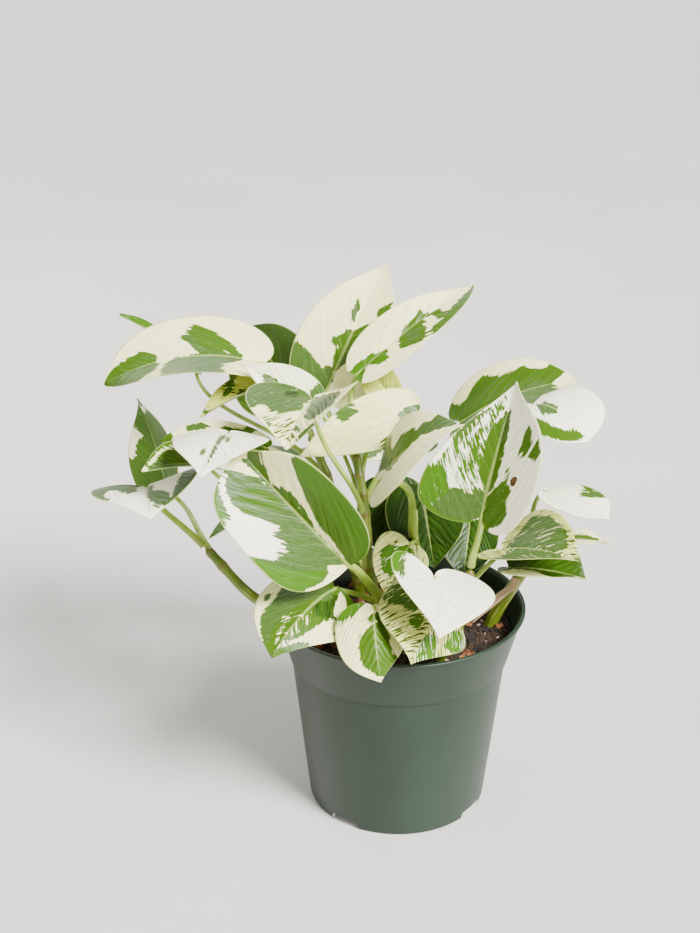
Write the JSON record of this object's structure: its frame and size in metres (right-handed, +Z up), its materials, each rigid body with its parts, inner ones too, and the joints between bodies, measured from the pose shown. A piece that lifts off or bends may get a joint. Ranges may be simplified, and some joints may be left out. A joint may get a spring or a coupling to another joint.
{
  "type": "potted variegated pothos",
  "caption": "Variegated pothos houseplant in a tapered green plastic nursery pot, with heart-shaped cream and green leaves on arching petioles over dark potting mix",
  "frame": {"origin": "centre of the pot's flat base, on the surface that it stands on", "axes": "+Z up along the pot's axis, -Y towards the front of the plant as pictured, +X to its right"},
  "size_m": [0.2184, 0.174, 0.226],
  "materials": {
    "pot": "satin moulded polypropylene, dark green",
    "potting_mix": "matte peat and bark chips",
    "vine": "smooth satin green bark",
    "dry_sheath": "thin, dry and matte",
    "leaf_cream": "glossy cuticle, cream with green patches",
    "leaf_green": "glossy cuticle, green with cream patches"
  },
  "bodies": {
    "root": {"pot": "pot", "soil": "potting_mix", "stem_left": "vine", "stem_front": "vine", "stem_centre": "vine", "stem_inner": "vine", "stem_front_right": "vine", "stem_right": "vine", "stem_right_edge": "vine", "stem_back_right": "vine", "stem_back": "vine", "leaf_top_left": "leaf_cream", "leaf_back_far_left": "leaf_green", "leaf_back_green": "leaf_green", "leaf_top_centre": "leaf_cream", "leaf_top_right": "leaf_cream", "leaf_lime_inner": "leaf_cream", "leaf_right_back_green": "leaf_green", "leaf_right_back_white": "leaf_cream", "leaf_right_front_big": "leaf_cream", "leaf_centre_right": "leaf_cream", "leaf_centre_cream": "leaf_cream", "leaf_speckled": "leaf_cream", "leaf_small_white": "leaf_cream", "leaf_left_lime": "leaf_cream", "leaf_left_strip": "leaf_cream", "leaf_left_white": "leaf_cream", "leaf_left_green_white": "leaf_green", "leaf_far_left_upright": "leaf_green", "leaf_low_left_boat": "leaf_cream", "leaf_front_left_big": "leaf_green", "leaf_left_dark_tip": "leaf_green", "leaf_low_left_front": "leaf_green", "leaf_front_centre": "leaf_cream", "leaf_front_speckled": "leaf_cream", "leaf_white_heart": "leaf_cream", "leaf_inner_speckled": "leaf_cream", "leaf_shade_centre": "leaf_green", "leaf_shade_left": "leaf_green", "leaf_shade_right": "leaf_green", "leaf_right_speckled": "leaf_cream", "leaf_right_lower": "leaf_green", "leaf_far_right_white": "leaf_cream", "leaf_right_sliver": "leaf_cream", "leaf_back_low_left": "leaf_green", "leaf_back_middle": "leaf_cream", "leaf_back_low_right": "leaf_green"}
  },
  "joints": []
}
